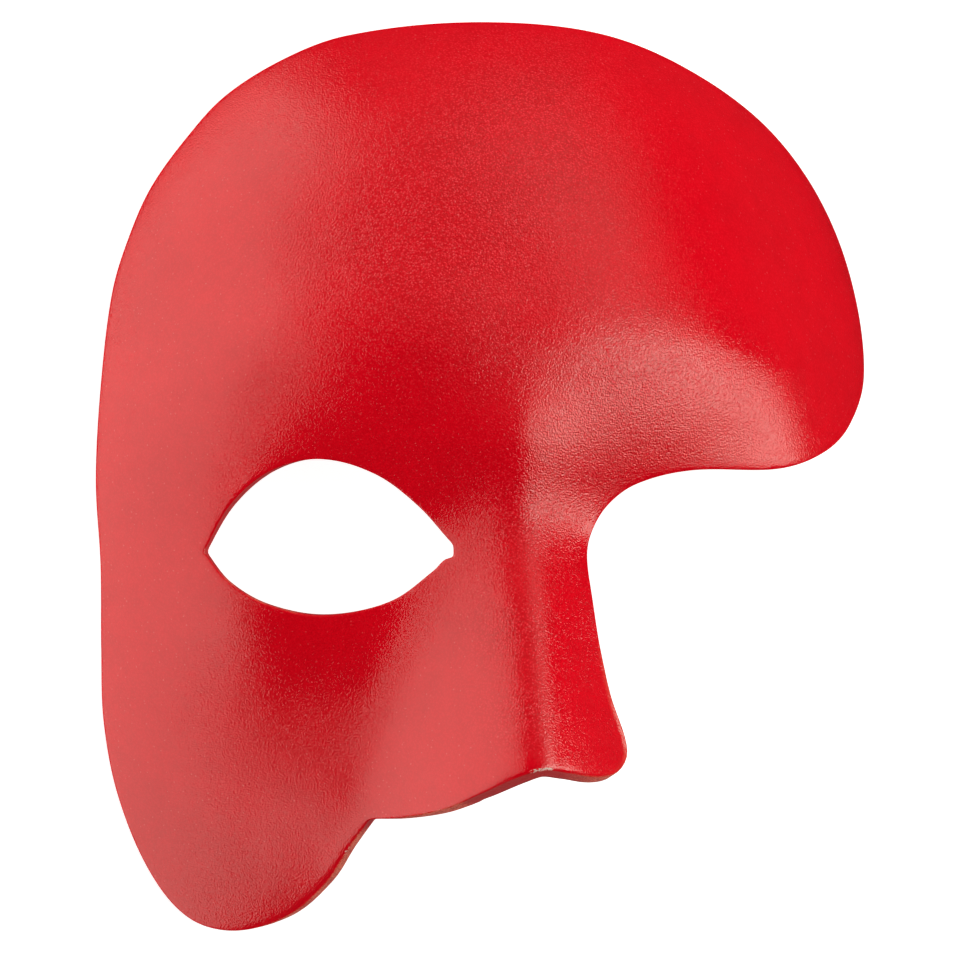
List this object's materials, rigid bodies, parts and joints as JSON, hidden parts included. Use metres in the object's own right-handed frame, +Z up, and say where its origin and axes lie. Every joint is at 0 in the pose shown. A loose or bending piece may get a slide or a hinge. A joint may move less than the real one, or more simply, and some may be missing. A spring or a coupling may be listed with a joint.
{
  "type": "venetian leather mask",
  "caption": "Moulded leather half mask over the forehead, nose and right cheek, with an eye hole; the left side is cut away below the brow.",
  "frame": {"origin": "on the table, under the centre of the mask's bounding box", "axes": "+Z up, out of the face as the mask lies face up on its rim; +Y towards the forehead; +X towards the wearer's left"},
  "size_m": [0.1668, 0.1896, 0.0757],
  "materials": {
    "red_leather": "dyed and waxed vegetable-tanned leather with a fine grain and a satin sheen, bare where its cut edges are worn"
  },
  "bodies": {
    "root": {"mask_shell": "red_leather"}
  },
  "joints": []
}
